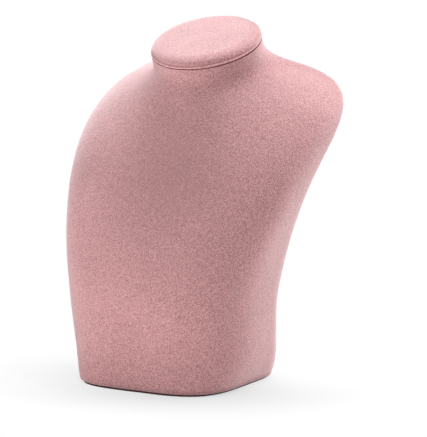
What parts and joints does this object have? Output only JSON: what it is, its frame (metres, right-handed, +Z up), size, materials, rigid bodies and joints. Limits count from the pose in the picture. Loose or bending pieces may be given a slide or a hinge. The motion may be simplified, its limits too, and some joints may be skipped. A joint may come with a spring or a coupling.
{
  "type": "necklace stand",
  "caption": "Headless neck-and-shoulders bust for displaying a necklace: a suede-covered form that leans back from a flat base, with a padded flat cap on its short tilted neck.",
  "frame": {"origin": "centre of the underside of the base, where the stand meets the table", "axes": "+Z up; the chest faces -Y; +X is on the viewer's right when the chest is seen from the front"},
  "size_m": [0.1874, 0.1489, 0.2468],
  "materials": {
    "suede": "dusty pink microfibre suede, short soft nap",
    "moulded_form": "rigid foam moulding, fine skin",
    "grey_board": "pressed grey board, matt",
    "foam": "white open-cell foam",
    "felt": "dark brown felt, matt"
  },
  "bodies": {
    "root": {"bust_core": "moulded_form", "bust_cover": "suede", "neck_cap_board": "grey_board", "neck_cap_pad": "foam", "neck_cap_cover": "suede", "base_felt": "felt"}
  },
  "joints": []
}
